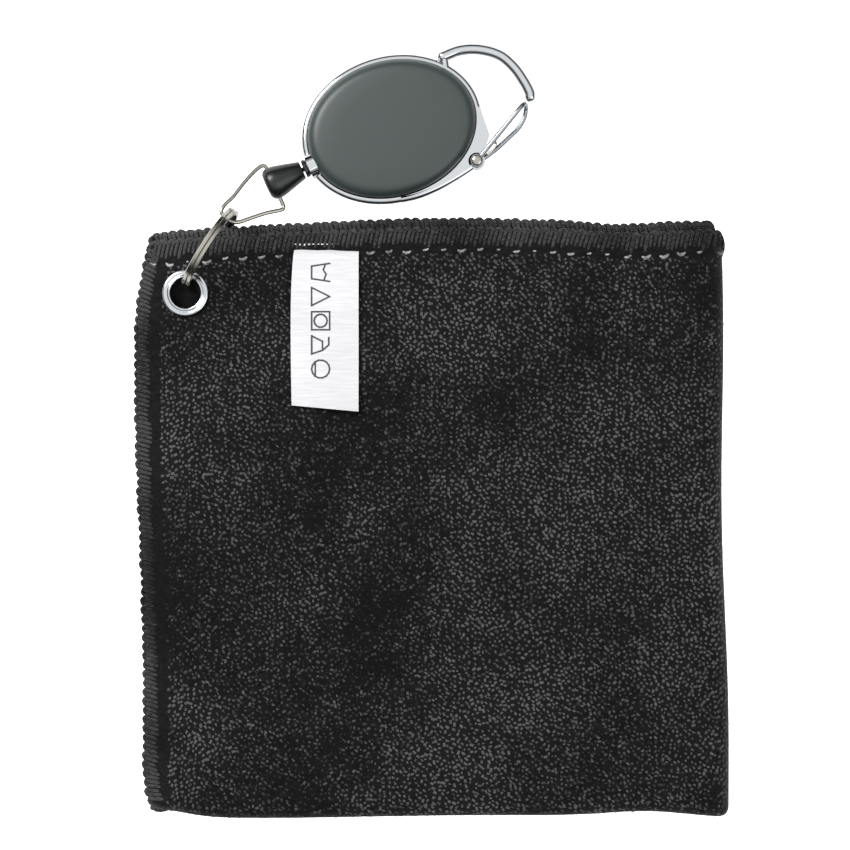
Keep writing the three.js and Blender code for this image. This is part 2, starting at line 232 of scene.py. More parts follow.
# %% Shared dimensions
LAYER, TOWEL_T = 3.0, 12.0
LEFT, RIGHT, BOTTOM = -77.2, 77.2, -101.6
HEM_TOP, HEM_LOWER = 50.5, 53.2
EYELET = np.array([-65.8, 35.3, 0.0])
MID_Z = 5.25
REEL = np.array([-12.0, 79.0, MID_Z])
LONG, SHORT, REEL_TURN = 22.6, 17.7, math.radians(17.5)
CORD_TURN = math.radians(24.5)
cord_axis = np.array([-math.cos(CORD_TURN), -math.sin(CORD_TURN), 0])
cross_axis = np.array([math.sin(CORD_TURN), -math.cos(CORD_TURN), 0])
RING_TURN = math.radians(57.33)
ring_along = np.array([math.cos(RING_TURN), math.sin(RING_TURN), 0])
ring_axis = np.array([math.sin(RING_TURN), -math.cos(RING_TURN), 0])
ring_centre = EYELET + [0, 0, 12.95] + 13.2 * ring_along - 0.7 * ring_axis


def on_cord(along, across=0.0, up=0.0):
    return REEL + along * cord_axis + across * cross_axis + np.array([0, 0, up])


def on_oval(angle, out=0.0):
    u, v = (LONG + out) * math.cos(angle), (SHORT + out) * math.sin(angle)
    c, s = math.cos(REEL_TURN), math.sin(REEL_TURN)
    return np.array([REEL[0] + u * c - v * s, REEL[1] + u * s + v * c])


# %% [markdown]
# ## Camera and light
# The part is seen from straight above. The surface under it is white and lit evenly, as in a catalogue,
# with a soft lamp from the upper left, so the reel's lower right edge falls off into the dark.

# %% Camera, lamps and floor
VIEW_HEIGHT, VIEW_WIDTH, VIEW_PLANE = 0.58, 0.22372, 0.008
camera = bpy.data.objects.new("camera", bpy.data.cameras.new("camera"))
camera.location = (-0.00316, 0.00079, VIEW_HEIGHT)
camera.data.lens = 36 * (VIEW_HEIGHT - VIEW_PLANE) / VIEW_WIDTH
scene.collection.objects.link(camera)
scene.camera = camera


def soft_lamp(name, place, size, power, colour="#ffffff"):
    lamp = bpy.data.lights.new(name, "AREA")
    lamp.size, lamp.energy, lamp.color = size, power, linear(colour)[:3]
    obj = bpy.data.objects.new(name, lamp)
    obj.location = place
    aim = np.array([0, 0, 0.005]) - np.array(place)
    obj.rotation_euler = Vector(aim).to_track_quat("-Z", "Y").to_euler()
    scene.collection.objects.link(obj)


soft_lamp("key", (-0.42, 0.38, 0.55), 0.35, 5.0)
soft_lamp("fill", (0.5, -0.3, 0.6), 0.6, 1.6)
world = bpy.data.worlds.new("white room")
scene.world = world
world.use_nodes = True
tree = world.node_tree
# White overhead and dark at the horizon, so bright metal has the dark outlines that a studio tent gives it.
rays = add_node(tree, "ShaderNodeLightPath")
sky = add_node(tree, "ShaderNodeTexCoord")
height = add_node(tree, "ShaderNodeSeparateXYZ", [(sky.outputs["Generated"], 0)])
tent = add_node(tree, "ShaderNodeMapRange", [(height.outputs["Z"], "Value")],
                From_Min=0.4, From_Max=0.92, To_Min=0.02, To_Max=1.2)
seen = add_node(tree, "ShaderNodeMath", [(rays.outputs["Is Camera Ray"], 0), (tent.outputs[0], 1)],
                operation="MAXIMUM")
tree.links.new(seen.outputs[0], tree.nodes["Background"].inputs["Strength"])
tree.nodes["Background"].inputs["Color"].default_value = (1, 1, 1, 1)
scene.view_settings.view_transform = "Standard"

white, tree, shader = new_material("white sweep", Base_Color="#ffffff", Roughness=1.0)
shader.inputs["Emission Color"].default_value = (1, 1, 1, 1)
rays = add_node(tree, "ShaderNodeLightPath")
glow = add_node(tree, "ShaderNodeMapRange", [(rays.outputs["Is Camera Ray"], "Value")],
                To_Min=0.12, To_Max=0.95)
tree.links.new(glow.outputs[0], shader.inputs["Emission Strength"])
FLOOR_HALF, FLOOR_Z = 600, -0.4
corners = [(x * FLOOR_HALF, y * FLOOR_HALF, FLOOR_Z) for x, y in ((-1, -1), (1, -1), (1, 1), (-1, 1))]
floor = make_object("floor", corners, [(0, 1, 2, 3)], white)
print("camera lens", round(camera.data.lens, 1))

# %% [markdown]
# ## Materials
# Bright chrome on the carabiner and eyelet mirrors the light overhead. The gate is a darker polished wire,
# so that it shows against white. The ring and bail are plain plated wire, darker and warmer still. The
# covers are ABS with a fine sparked texture, which gives the broad grey-green sheen. The swivel is the
# same plastic left smooth.

# %% Metal and plastic


def bumped(tree, shader, scale, strength, distance, detail=3.0, kind="ShaderNodeTexNoise"):
    """A procedural bump in object coordinates. scale is in features a metre."""
    place = add_node(tree, "ShaderNodeTexCoord")
    noise = add_node(tree, kind, [(place.outputs["Object"], "Vector")], Scale=scale)
    if kind == "ShaderNodeTexNoise":
        noise.inputs["Detail"].default_value = detail
    bump = add_node(tree, "ShaderNodeBump", [(noise.outputs[0], "Height")],
                    Strength=strength, Distance=distance)
    tree.links.new(bump.outputs[0], shader.inputs["Normal"])
    return place, noise


chrome, tree, shader = new_material("bright chrome plate", Base_Color="#c6c9cc", Metallic=1.0, Roughness=0.09)
bumped(tree, shader, 500, 0.04, 0.0001)
polished, tree, shader = new_material("polished steel wire", Base_Color="#8b8f93", Metallic=1.0,
                                      Roughness=0.14)
bumped(tree, shader, 700, 0.05, 0.0001)
plated, tree, shader = new_material("plated steel wire", Base_Color="#a6a49c", Metallic=1.0, Roughness=0.2)
bumped(tree, shader, 900, 0.06, 0.0001)
abs_matt, tree, shader = new_material("sparked ABS", Base_Color="#333d3b", Roughness=0.4)
shader.inputs["Specular IOR Level"].default_value = 0.55
bumped(tree, shader, 2600, 0.22, 0.00006)
abs_smooth, tree, shader = new_material("moulded ABS", Base_Color="#101312", Roughness=0.3)
bumped(tree, shader, 300, 0.03, 0.0001)
braid, tree, shader = new_material("braided nylon cord", Base_Color="#151515", Roughness=0.7)
bumped(tree, shader, 1500, 0.5, 0.0002)
spring_steel, tree, shader = new_material("blued spring steel", Base_Color="#6d7077", Metallic=1.0,
                                          Roughness=0.3)
bumped(tree, shader, 700, 0.05, 0.0001)
print("materials:", len(bpy.data.materials))

# %% [markdown]
# ## The reel's covers
# Two moulded oval dishes meet at the middle of the rim, where a groove holds the carabiner's wire. The
# face is very slightly crowned, so its sheen drifts across it, and then rolls over to the rim.

# %% Covers


def cover(name, node, flip):
    """One cover as rings of its oval, from the seam up to the face's middle."""
    rings = [(1.15, 0.15), (1.15, 0.7), (0.85, 1.2), (0.3, 1.6), (0.0, 1.9)]
    for step in range(1, 9):
        turn = math.radians(step * 11.25)
        rings.append((3.4 * (1 - math.cos(turn)), 1.9 + 2.95 * math.sin(turn)))
    for share in (0.8, 0.6, 0.4, 0.2, 0.05):
        rings.append(((1 - share) * LONG, 4.85 + 0.38 * (1 - share**2)))
    count = 128
    verts, faces = [], []
    for inset, height in rings:
        for j in range(count):
            angle = 2 * math.pi * j / count
            scale = 1 - inset / LONG
            x, y = on_oval(angle, 0)
            near = on_oval(angle, -min(inset, 6))
            if inset > 6:
                near = REEL[:2] + (np.array([x, y]) - REEL[:2]) * scale
            verts.append((near[0], near[1], MID_Z + (-height if flip else height)))
    n = len(rings)
    for k in range(n - 1):
        for j in range(count):
            m = (j + 1) % count
            faces.append((k * count + j, k * count + m, (k + 1) * count + m, (k + 1) * count + j))
    faces += [tuple(range(count))[::-1], tuple(range((n - 1) * count, n * count))]
    obj = make_object(name, verts, faces, abs_matt, sharp=50)
    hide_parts(node)
    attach(obj, "reel")
    return obj


cover("front_cover", "reel_front_cover", False)
cover("back_cover", "reel_back_cover", True)

# %% [markdown]
# ## The carabiner
# One chromed casting: a wire round the reel's rim, a plate that fills the corner by the gate, and a hook.
# The gate is a loop of wire with a leg on each side of the plate, and a small spring sits between them.

# %% Frame, gate and pin
PLATE_LOW, PLATE_HIGH = MID_Z - 1.2, MID_Z + 1.2
nozzle_angle = math.pi + math.atan(LONG / SHORT * math.tan(CORD_TURN - REEL_TURN))
rim = [
    (*on_oval(nozzle_angle + 0.11 + (2 * math.pi - 0.22) * i / 160, 0.5), MID_Z) for i in range(161)
]
hook_points = [
    (1.5, 98.2), (6.1, 99.9), (11.3, 100.1), (16.6, 98.6),
    (20.3, 95.5), (22.9, 91.9), (24.5, 88.9), (24.7, 87.6),
]
hook_path, hook_radii = rounded_ends(smooth_path([(x, y, MID_Z) for x, y in hook_points], 48), 1.5)
neck = smooth_path([(1.8, 98.2, MID_Z), (2.0, 96.8, MID_Z), (2.2, 95.4, MID_Z)], 8)
tail_points = [(-9.5, 60.75), (-5.1, 61.75), (-0.1, 63.8), (4.9, 66.6), (9.6, 69.6)]
tail = smooth_path([(x, y, MID_Z) for x, y in tail_points], 30)
web = [
    (11.5, 84.6), (11.8, 83.5), (13.3, 79.2), (13.9, 77.4),
    (12.2, 72), (10, 70.1), (4.9, 66.9), (-0.1, 63.9),
]
inner = [tuple(on_oval(angle, 0.35)) for angle in np.linspace(-1.45, -0.05, 18)]
boss = [(2.4, 21.9), (3.4, 21.9), (3.4, 24.2), (2.4, 24.2)]
lug = [(1.1, -1.2), (2.2, -1.2), (2.2, 1.2), (1.1, 1.2)]
GATE = np.array([10.5, 70.5, MID_Z])
casting = make_object("carabiner", *joined(
    sweep(rim, 1.2, 14), sweep(hook_path, hook_radii, 18), sweep(neck, 1.2, 14), sweep(tail, 1.2, 14),
    plate(web + inner, PLATE_LOW, PLATE_HIGH),
    lathe(boss, REEL, cord_axis, 40), lathe(lug, GATE, (0, 0, 1), 32),
), chrome)
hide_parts("carabiner_frame")
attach(casting, "reel")

HIGH, LOW = MID_Z + 2.15, MID_Z - 2.15
leg_points = [
    (11.45, 71.6, HIGH), (14.5, 75.3, HIGH), (18.2, 79.8, HIGH), (21.6, 84.0, HIGH), (22.8, 85.3, HIGH - 0.6),
    (23.4, 85.5, MID_Z), (23.6, 84.7, LOW + 0.5), (23.2, 82.3, LOW), (21.6, 79.5, LOW), (18.6, 76.6, LOW),
    (16.2, 74.4, LOW), (13.6, 72.4, LOW), (11.9, 71.2, LOW),
]
eye = [
    (1.1, -0.55), (1.25, -0.65), (1.65, -0.65), (1.75, -0.5),
    (1.75, 0.5), (1.65, 0.65), (1.25, 0.65), (1.1, 0.55),
]
gate = make_object("gate_loop", *joined(
    sweep(smooth_path(leg_points, 90), 0.65, 12),
    lathe(eye, GATE + [0, 0, 2.15], (0, 0, 1), 28), lathe(eye, GATE - [0, 0, 2.15], (0, 0, 1), 28),
), polished)
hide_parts("gate_wire")
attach(gate, "gate")

pin_profile = [
    (1.0, -3.6), (1.3, -3.4), (1.3, -3.1), (0.8, -3.1),
    (0.8, 3.1), (1.3, 3.1), (1.3, 3.4), (1.0, 3.6),
]
pin = make_object("gate_rivet", *capped(pin_profile, GATE, (0, 0, 1), 24), plated)
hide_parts("gate_pin")
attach(pin, "reel")

bend = [(13.3, 72.4), (14.6, 73.6), (15.5, 74.9), (15.3, 75.8), (14.4, 75.4), (13.6, 74.0)]
bend_path = smooth_path([(x, y, MID_Z) for x, y in bend], 30)
gate_spring = make_object("gate_return_spring", *sweep(bend_path, 0.35, 8), plated)
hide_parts("gate_spring")
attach(gate_spring, "reel")

# %% [markdown]
# ## Nozzle, swivel, bail, split ring and eyelet
# The swivel's wide end is bored across, and the bail is one wire whose two ends meet in that bore. The
# ring is two flat coils, and the groove between them shows as a dark line.

# %% Small hardware
nozzle_profile = [
    (0.9, 21.0), (2.1, 21.0), (2.1, 24.5), (2.3, 24.5),
    (2.4, 24.7), (2.4, 25.3), (2.2, 25.5), (0.9, 25.5),
]
nozzle = make_object("nozzle", *lathe(nozzle_profile, REEL, cord_axis, 40), abs_smooth)
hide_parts("cord_nozzle")
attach(nozzle, "reel")

cone_profile = [
    (0.95, 25.9), (2.2, 25.9), (2.45, 26.2), (3.4, 29.7), (4.1, 32.4), (4.3, 33.6), (4.3, 34.6), (4.15, 35.3),
    (3.7, 35.9), (3.0, 36.3), (1.4, 36.4),
]
cone = make_object("swivel", *capped(cone_profile, REEL, cord_axis, 56), abs_smooth, sharp=50)
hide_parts("swivel_cone")
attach(cone, "cone")

loop = [
    (34.4, -2.0), (34.4, -4.6), (34.9, -5.3), (36.0, -5.3), (38.5, -4.4), (41.9, -2.7), (45.4, -0.7),
    (48.2, 0.4), (49.8, 1.7), (49.5, 3.4), (48.4, 5.2), (46.8, 6.0), (42.6, 6.3), (39.3, 6.6), (35.6, 7.3),
    (34.6, 7.1), (34.4, 6.2), (34.4, 4.0), (34.4, 2.0),
]
bail_path = smooth_path([on_cord(t, c, (t - 34.4) * 0.308) for t, c in loop], 130)
bail = make_object("bail", *sweep(bail_path, 0.55, 12), plated)
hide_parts("wire_bail")
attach(bail, "bail")

coil = [
    (10.95, 0.15), (11.1, 0.04), (12.0, 0.04), (12.15, 0.2),
    (12.15, 0.95), (12.0, 1.1), (11.1, 1.1), (10.95, 0.95),
]
other = [(r, -h) for r, h in coil]
split_ring = make_object("key_ring", *joined(
    lathe(coil, ring_centre, ring_axis, 96), lathe(other, ring_centre, ring_axis, 96)), plated)
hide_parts("split_ring")
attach(split_ring, "ring")

barrel = [
    (4.0, 8.8), (4.5, 8.8), (4.5, 11.75), (5.9, 11.7), (6.05, 11.9), (5.95, 12.15), (5.6, 12.3), (5.2, 12.25),
    (4.95, 12.1), (4.75, 12.15), (4.5, 12.4), (4.2, 12.42), (4.0, 12.2),
]
eyelet = make_object("corner_eyelet", *lathe(barrel, EYELET, (0, 0, 1), 72), chrome, sharp=60)
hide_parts("eyelet")
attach(eyelet, "towel")

stub = [on_cord(along) for along in (18.6, 22, 26, 30)]
cord = make_object("cord_stub", *sweep(stub, 0.6, 14), braid)
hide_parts("pull_cord")
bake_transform(cord)
for node, finish in (
    ("centre_post", spring_steel), ("power_spring", spring_steel),
    ("cord_run", braid), ("cord_winding", braid),
    ("cord_drum", abs_smooth), ("eyelet_washer", chrome),
):
    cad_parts[node].data.materials.clear()
    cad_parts[node].data.materials.append(finish)

# %% [markdown]
# ## The towel
# One square of warp-knitted microfibre fleece. It was folded top to bottom and then side to side, so its
# four layers meet in soft folds below and at the right, and its hems lie together above and at the left.
# The mesh is that flat square carried through both folds, so it stays one sheet and keeps its area.

# %% Fold the sheet
FLEECE = 2.3
MIDDLE = TOWEL_T / 2
FOLD_X, FOLD_Y = RIGHT - 4.2, BOTTOM + 2.2


def folded(p, q, out):
    """Where a point of the flat square goes. out is its distance from the sheet's middle."""
    # First fold, along the bottom: the outer half, a bend, and the inner half.
    run = HEM_TOP - FOLD_Y
    bend = math.pi * LAYER / 2
    r = LAYER / 2 + out
    along = np.where(q < run, HEM_TOP - q, np.where(q > run + bend, FOLD_Y + (q - run - bend), FOLD_Y))
    angle = np.clip((q - run) / bend, 0, 1) * math.pi
    y = along - np.sin(angle) * r
    offset = np.cos(angle) * r
    # Second fold, at the right, with the first fold's two layers carried round together.
    run = FOLD_X - LEFT
    bend = math.pi * LAYER
    r = LAYER + offset
    x = np.where(p < run, LEFT + p, np.where(p > run + bend, FOLD_X - (p - run - bend), FOLD_X))
    angle = np.clip((p - run) / bend, 0, 1) * math.pi
    return np.stack([x + np.sin(angle) * r * 0.72, y, MIDDLE + np.cos(angle) * r], -1)


SPAN_X = 2 * (FOLD_X - LEFT) + math.pi * LAYER
SPAN_Y = (HEM_TOP - FOLD_Y) + (HEM_LOWER - FOLD_Y) + math.pi * LAYER / 2
rng = np.random.default_rng(7)


def hump(value, middle, width):
    return np.exp(-(((value - middle) / width) ** 2))


def draped(points):
    """The slack of real cloth: its edges wander, its outside sinks, and its corner drops by the eyelet."""
    x, y, z = points[..., 0].copy(), points[..., 1].copy(), points[..., 2].copy()
    height = (y - BOTTOM) / (HEM_TOP - BOTTOM)
    across = (x - LEFT) / (RIGHT - LEFT)
    left_edge = 1.2 * np.sin(height * 5.2 + 0.6) * (1 - across) ** 2
    left_edge = left_edge + 2.6 * hump(height, 1.02, 0.09) * (1 - across) ** 3
    left_edge += 2.6 * hump(height, -0.02, 0.05) * (1 - across) ** 3
    right_edge = -2.2 * np.clip(height, 0, 1) ** 0.7 * across**3 + 0.5 * np.sin(height * 9) * across**3
    top_edge = -2.9 * (1 - across) ** 4 + 1.0 * hump(across, 0.5, 0.22)
    top_edge = top_edge - 0.9 * hump(across, 0.82, 0.07) * height
    low_edge = 1.3 * hump(across, 0.02, 0.06) + 1.6 * hump(across, 0.86, 0.1) - 0.4 * np.sin(across * 8)
    new_x = x + left_edge + right_edge
    new_y = y + top_edge * np.clip(height, 0, 1) ** 2 + low_edge * np.clip(1 - height, 0, 1) ** 6
    edge = np.minimum(1, (x - LEFT) / 16)
    sink = 1 - 0.34 * (1 - edge) ** 2
    edge = np.minimum(1, np.maximum(0, (HEM_LOWER - y) / 12))
    sink *= 1 - 0.22 * (1 - edge) ** 2
    swell = 1 + 0.03 * np.sin(x * 0.045 + 1.3) * np.cos(y * 0.052 - 0.4) + 0.018 * np.sin(x * 0.11 - y * 0.07)
    return np.stack([new_x, new_y, z * sink * swell], -1)


def cloth_point(p, q, out):
    return draped(folded(np.asarray(p, float), np.asarray(q, float), out))


def spaced(span, run, bend, step, fine):
    """Even steps on the flat, and finer ones round a fold."""
    parts = (np.arange(0, run, step), np.linspace(run, run + bend, fine),
             np.arange(run + bend + step, span, step), [span])
    return np.unique(np.round(np.concatenate(parts), 4))


ps = spaced(SPAN_X, FOLD_X - LEFT, math.pi * LAYER, 1.9, 16)
qs = spaced(SPAN_Y, HEM_TOP - FOLD_Y, math.pi * LAYER / 2, 1.9, 12)
P, Q = np.meshgrid(ps, qs, indexing="ij")
top = cloth_point(P, Q, FLEECE / 2)
low = cloth_point(P, Q, -FLEECE / 2)
nap = rng.normal(0, 0.07, P.shape)
top[..., 2] += nap * np.where(P < FOLD_X - LEFT, 1, 0)
NI, NJ = P.shape
verts = np.concatenate([top.reshape(-1, 3), low.reshape(-1, 3)])


def at(i, j, side):
    return side * NI * NJ + i * NJ + j


# The eyelet's hole goes through the top layer alone.
cell_x, cell_y = (top[:-1, :-1, 0] + top[1:, 1:, 0]) / 2, (top[:-1, :-1, 1] + top[1:, 1:, 1]) / 2
on_top = (P[:-1, :-1] < FOLD_X - LEFT - 2) & (Q[:-1, :-1] < HEM_TOP - FOLD_Y - 2)
hole = on_top & (np.hypot(cell_x - EYELET[0], cell_y - EYELET[1]) < 4.6)
faces = []
for i in range(NI - 1):
    for j in range(NJ - 1):
        if hole[i, j]:
            continue
        faces.append((at(i, j, 0), at(i + 1, j, 0), at(i + 1, j + 1, 0), at(i, j + 1, 0)))
        faces.append((at(i, j, 1), at(i, j + 1, 1), at(i + 1, j + 1, 1), at(i + 1, j, 1)))
        for di, dj, a, b in ((0, -1, (i, j), (i + 1, j)), (0, 1, (i + 1, j + 1), (i, j + 1)),
                             (-1, 0, (i, j + 1), (i, j)), (1, 0, (i + 1, j), (i + 1, j + 1))):
            ni, nj = i + di, j + dj
            if not (0 <= ni < NI - 1 and 0 <= nj < NJ - 1) or hole[ni, nj]:
                faces.append((at(*a, 0), at(*a, 1), at(*b, 1), at(*b, 0)))
print("sheet", round(SPAN_X), "by", round(SPAN_Y), "mm,", len(faces), "faces")

# %% [markdown]
# The fleece is dyed black, but each loop catches light on its tip, so up close it is a grain of dark grey
# tips over black gaps, finer than two millimetres and leaning one way with the knit. The grey of the tips is
# painted into the pile's colour as a sheen, over a random grain of darker and lighter tufts.

# %% Fleece and thread


def cloth_material(name, dark, light, grain, stretch, strength):
    """Grain in object coordinates, longer along the knit's lean. grain is in features a metre."""
    mat, tree, shader = new_material(name, Roughness=0.95)
    shader.inputs["Specular IOR Level"].default_value = 0.15
    shader.inputs["Sheen Weight"].default_value = 0.25
    shader.inputs["Sheen Roughness"].default_value = 0.5
    shader.inputs["Sheen Tint"].default_value = (0.5, 0.5, 0.5, 1)
    place = add_node(tree, "ShaderNodeTexCoord")
    lean = add_node(tree, "ShaderNodeMapping", [(place.outputs["Object"], "Vector")])
    lean.inputs["Rotation"].default_value = (0, 0, math.radians(-35))
    lean.inputs["Scale"].default_value = (stretch, 1, 1)
    noise = add_node(tree, "ShaderNodeTexNoise", [(lean.outputs[0], "Vector")], Scale=grain, Detail=2.0)
    broad = add_node(tree, "ShaderNodeTexNoise", [(place.outputs["Object"], "Vector")],
                     Scale=38.0, Detail=2.0)
    both = add_node(tree, "ShaderNodeMath", [(noise.outputs[0], 0), (broad.outputs[0], 1)],
                    operation="ADD")
    ramp = add_node(tree, "ShaderNodeMapRange", [(both.outputs[0], "Value")],
                    From_Min=0.82, From_Max=1.18)
    mix = add_node(tree, "ShaderNodeMix", [(ramp.outputs[0], 0)], data_type="RGBA")
    mix.inputs[6].default_value, mix.inputs[7].default_value = linear(dark), linear(light)
    tree.links.new(mix.outputs[2], shader.inputs["Base Color"])
    bump = add_node(tree, "ShaderNodeBump", [(noise.outputs[0], "Height")],
                    Strength=strength, Distance=0.0006)
    tree.links.new(bump.outputs[0], shader.inputs["Normal"])
    return mat


fleece = cloth_material("microfibre fleece", "#060606", "#121212", 900.0, 0.5, 0.9)
# Painted sheen: the tufts' grey, up to #545454 on black fleece, stands in for the light their tips catch; its
# spread by noise is random tone.
pile = cloth_material("fleece pile tips with painted sheen", "#0b0b0b", "#545454", 750.0, 0.7, 0.8)
thread = cloth_material("textured nylon thread", "#161616", "#444444", 2200.0, 0.4, 0.6)
# Painted highlight: the needle thread's light grey stands in for the light that its loops catch.
needle_thread_painted_highlight = cloth_material("needle thread painted highlight", "#555555", "#a4a4a4", 1800.0, 0.5, 0.5)
satin = cloth_material("satin ribbon", "#cfcfd1", "#dedee0", 3000.0, 0.05, 0.05)
print_ink = new_material("care print ink", Base_Color="#3c3c40", Roughness=0.6)[0]

towel = make_object("folded_towel", verts, faces, fleece, sharp=70)
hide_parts("towel_cloth")
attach(towel, "towel")

# %% [markdown]
# ## The pile
# Looped tufts stand on the outside of the folded square and round its folds. Each is a small leaning
# blob, scattered at a fixed distance from its neighbours, so the grain is even but never in rows.

# %% Tufts by Geometry Nodes


def blob(name, length, width, height, sides=6):
    """A small rounded grain along X, sitting on Z = 0."""
    rows = ((-0.42, 0.8), (0.42, 0.8))
    verts = [(-length / 2, 0, height * 0.35)]
    for along, share in rows:
        for j in range(sides):
            angle = 2 * math.pi * j / sides
            verts.append((along * length * 0.75, width / 2 * share * math.cos(angle) * 1.25,
                          height * (0.42 + 0.5 * math.sin(angle))))
    verts.append((length / 2, 0, height * 0.6))
    faces = [(0, 1 + (j + 1) % sides, 1 + j) for j in range(sides)]
    faces += [(1 + j, 1 + (j + 1) % sides, 1 + sides + (j + 1) % sides, 1 + sides + j) for j in range(sides)]
    faces += [(1 + 2 * sides, 1 + sides + j, 1 + sides + (j + 1) % sides) for j in range(sides)]
    return make_object(name, verts, faces, pile)


def scatter_tree(name):
    """Scatters a grain over a mesh: inputs for the grain, its spacing, its lean and a seed."""
    tree = bpy.data.node_groups.new(name, "GeometryNodeTree")
    face = tree.interface
    face.new_socket("Geometry", in_out="INPUT", socket_type="NodeSocketGeometry")
    for label, kind in (("Grain", "Object"), ("Spacing", "Float"), ("Lean", "Float"), ("Seed", "Int"),
                        ("Finish", "Material")):
        face.new_socket(label, in_out="INPUT", socket_type="NodeSocket" + kind)
    face.new_socket("Geometry", in_out="OUTPUT", socket_type="NodeSocketGeometry")
    source, result = tree.nodes.new("NodeGroupInput"), tree.nodes.new("NodeGroupOutput")
    s = source.outputs
    spread = add_node(tree, "GeometryNodeDistributePointsOnFaces",
                      [(s["Geometry"], "Mesh"), (s["Spacing"], "Distance Min"), (s["Seed"], "Seed")],
                      distribute_method="POISSON")
    spread.inputs["Density Max"].default_value = 4e6
    grain = add_node(tree, "GeometryNodeObjectInfo", [(s["Grain"], "Object")])
    turn = add_node(tree, "FunctionNodeRandomValue", [(s["Seed"], "Seed")], data_type="FLOAT")
    turn.inputs[2].default_value, turn.inputs[3].default_value = -0.8, 0.8
    around = add_node(tree, "ShaderNodeMath", [(turn.outputs[1], 0), (s["Lean"], 1)], operation="ADD")
    spin = add_node(tree, "ShaderNodeCombineXYZ", [(around.outputs[0], "Z")])
    rotate = add_node(tree, "FunctionNodeRotateRotation",
                      [(spread.outputs["Rotation"], "Rotation"), (spin.outputs[0], "Rotate By")],
                      rotation_space="LOCAL")
    size = add_node(tree, "FunctionNodeRandomValue", [(s["Seed"], "Seed")], data_type="FLOAT")
    size.inputs[2].default_value, size.inputs[3].default_value = 0.7, 1.25
    placed = add_node(tree, "GeometryNodeInstanceOnPoints",
                      [(spread.outputs["Points"], "Points"), (grain.outputs["Geometry"], "Instance"),
                       (rotate.outputs[0], "Rotation"), (size.outputs[1], "Scale")])
    real = add_node(tree, "GeometryNodeRealizeInstances", [(placed.outputs[0], "Geometry")])
    finish = add_node(tree, "GeometryNodeSetMaterial",
                      [(real.outputs[0], "Geometry"), (s["Finish"], "Material")])
    tree.links.new(finish.outputs[0], result.inputs[0])
    return tree


def grown(name, bed, tree, values, material):
    """The mesh that a Geometry Nodes tree makes from a bed, as a plain object. The bed is removed."""
    holder = bpy.data.objects.new(name + "_bed", bed)
    scene.collection.objects.link(holder)
    modifier = holder.modifiers.new("grow", "NODES")
    modifier.node_group = tree
    names = {item.name: item.identifier for item in tree.interface.items_tree if item.in_out == "INPUT"}
    for label, value in values.items():
        modifier[names[label]] = value
    made = bpy.data.meshes.new_from_object(holder.evaluated_get(bpy.context.evaluated_depsgraph_get()))
    made.materials.clear()
    made.materials.append(material)
    made.shade_smooth()
    bpy.data.objects.remove(holder)
    obj = bpy.data.objects.new(name, made)
    scene.collection.objects.link(obj)
    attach(obj, "towel")
    print(name, len(made.polygons), "faces")
    return obj


def bed_of(name, p_low, p_high, q_low, q_high, clear=5.6, inset=0.0):
    """The outside of one part of the sheet, less the ring about the eyelet, for the pile to stand on."""
    i = np.where((ps >= p_low) & (ps <= p_high))[0]
    j = np.where((qs >= q_low) & (qs <= q_high))[0]
    points = top[np.ix_(i, j)].reshape(-1, 3)
    faces = []
    for a in range(len(i) - 1):
        for b in range(len(j) - 1):
            cell = [a * len(j) + b, (a + 1) * len(j) + b, (a + 1) * len(j) + b + 1, a * len(j) + b + 1]
            middle = points[cell].mean(0)
            if math.hypot(*(middle[:2] - EYELET[:2])) > clear or middle[2] < MIDDLE:
                faces.append(cell)
    mesh = bpy.data.meshes.new(name)
    mesh.from_pydata((points * MM).tolist(), [], faces)
    return mesh


RUN_X, RUN_Y = FOLD_X - LEFT, HEM_TOP - FOLD_Y
BEND_X, BEND_Y = math.pi * LAYER, math.pi * LAYER / 2
tuft = blob("tuft", 1.35, 1.08, 0.6)
scatter = scatter_tree("scattered pile")
HALF_RUN = ps[np.searchsorted(ps, RUN_X / 2)]
for name, area, spacing, seed in (
    ("pile_top_left", (5.7, HALF_RUN, 5.7, RUN_Y + 0.1), 0.98, 11),
    ("pile_top_right", (HALF_RUN, RUN_X + 0.1, 5.7, RUN_Y + 0.1), 0.98, 15),
    ("pile_side_fold", (RUN_X, RUN_X + BEND_X, 2.0, RUN_Y + BEND_Y), 1.1, 12),
    ("pile_low_fold", (2.0, RUN_X, RUN_Y, RUN_Y + BEND_Y), 1.1, 13),
    ("pile_under", (RUN_X + BEND_X, SPAN_X - 4.4, 4.4, RUN_Y), 2.1, 14),
):
    grown(
        name, bed_of(name, *area), scatter,
        {"Grain": tuft, "Spacing": spacing * MM, "Lean": math.radians(35), "Seed": seed, "Finish": pile},
        pile,
    )
bpy.data.objects.remove(tuft)

# %% [markdown]
# ## The overlocked hem
# Each edge is bound by three threads: strands that slant over the cut edge from front to back, a roped
# loop along the edge itself, and a needle row, whose loops catch the light, just inside it. One strand, one
# edge bead and one needle loop are modelled, and Geometry Nodes sets them along all four edges of the
# square, so the folded layers show their hems one behind another.

# %% Hem stitches by Geometry Nodes
HEM_WIDTH, STITCH = 4.6, 4.9


